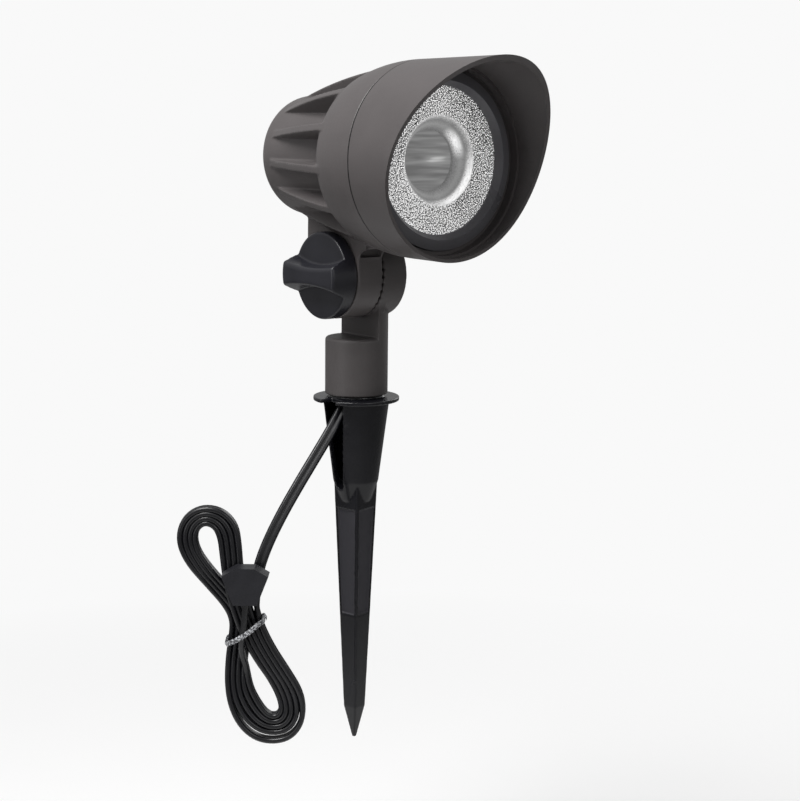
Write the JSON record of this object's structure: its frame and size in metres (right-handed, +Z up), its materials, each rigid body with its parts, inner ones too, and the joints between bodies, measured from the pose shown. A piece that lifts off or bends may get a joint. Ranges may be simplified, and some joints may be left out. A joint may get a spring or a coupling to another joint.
{
  "type": "garden spike spotlight",
  "caption": "Low-voltage garden spotlight: finned head with a slanted glare hood on a locking tilt knuckle, ground spike, and corded clamp-on connector.",
  "frame": {"origin": "on the stake's axis, at the underside of its ground flange (the ground line)", "axes": "+Z up along the stake; the beam points along -Y at rest; the tilt axis runs along X with the locking knob on the -X side"},
  "size_m": [0.1355, 0.1454, 0.33],
  "materials": {
    "bronze": "fine-textured matt bronze powder coat over die-cast aluminium",
    "stake_plastic": "glossy black plastic",
    "knob_plastic": "satin black plastic",
    "cord_jacket": "satin black cord jacket",
    "connector_plastic": "satin black plastic",
    "tie_wire": "clear plastic over wire",
    "contact_brass": "bright",
    "steel": "plated steel",
    "stainless": "stainless steel",
    "seal_rubber": "matt black rubber",
    "lens_clear": "clear moulded lens with a pebbled front",
    "ring_metal": "satin charcoal paint",
    "plate_aluminium": "machined",
    "board_white": "white solder mask",
    "emitter_yellow": "phosphor yellow",
    "holder_white": "white plastic",
    "pad_grey": "soft grey pad",
    "cup_plastic": "black plastic",
    "board_green": "green board",
    "parts_black": "component sleeves",
    "lead_red": "silicone lead"
  },
  "bodies": {
    "stake": {"ground_stake": "stake_plastic", "cord_lead": "cord_jacket", "cord_hank": "cord_jacket", "cord_end": "cord_jacket", "twist_tie": "tie_wire", "connector_base": "connector_plastic", "connector_cover": "connector_plastic", "connector_pins": "contact_brass"},
    "base": {"knuckle_base": "bronze", "clamp_nut": "steel", "cord_grommet": "seal_rubber", "base_lead": "cord_jacket"},
    "clamp_washer": {"clamp_washer": "stainless"},
    "knob": {"wing_knob": "knob_plastic", "clamp_bolt": "steel"},
    "head": {"rear_housing": "bronze", "housing_oring": "seal_rubber", "hood": "bronze", "lens_gasket": "seal_rubber", "collimator_lens": "lens_clear", "lens_retaining_ring": "ring_metal", "mounting_plate": "plate_aluminium", "thermal_pad": "pad_grey", "led_board": "board_white", "led_emitter": "emitter_yellow", "lens_holder": "holder_white", "board_screws": "steel", "plate_screws": "steel", "led_leads": "lead_red", "arm_lead": "cord_jacket", "driver_cup": "cup_plastic", "driver_board": "board_green", "driver_parts": "parts_black"}
  },
  "joints": [
    {"name": "stem_turn", "type": "hinge", "parent": "stake", "child": "base", "pos_m": [0, 0, 0.01], "axis": [0, 0, 1], "range_deg": [-180, 180]},
    {"name": "head_tilt", "type": "hinge", "parent": "base", "child": "head", "pos_m": [0, 0, 0.0605], "axis": [1, 0, 0], "range_deg": [-90, 60]},
    {"name": "knob_travel", "type": "slide", "parent": "base", "child": "clamp_washer", "axis": [-1, 0, 0], "range_m": [0, 0.00254]},
    {"name": "knob_turn", "type": "hinge", "parent": "clamp_washer", "child": "knob", "pos_m": [-0.02, 0, 0.0605], "axis": [1, 0, 0], "range_deg": [0, 720]}
  ],
  "couplings": [
    {"joint": "knob_travel", "follows": "knob_turn", "m_per_rad": 0.00020213}
  ]
}
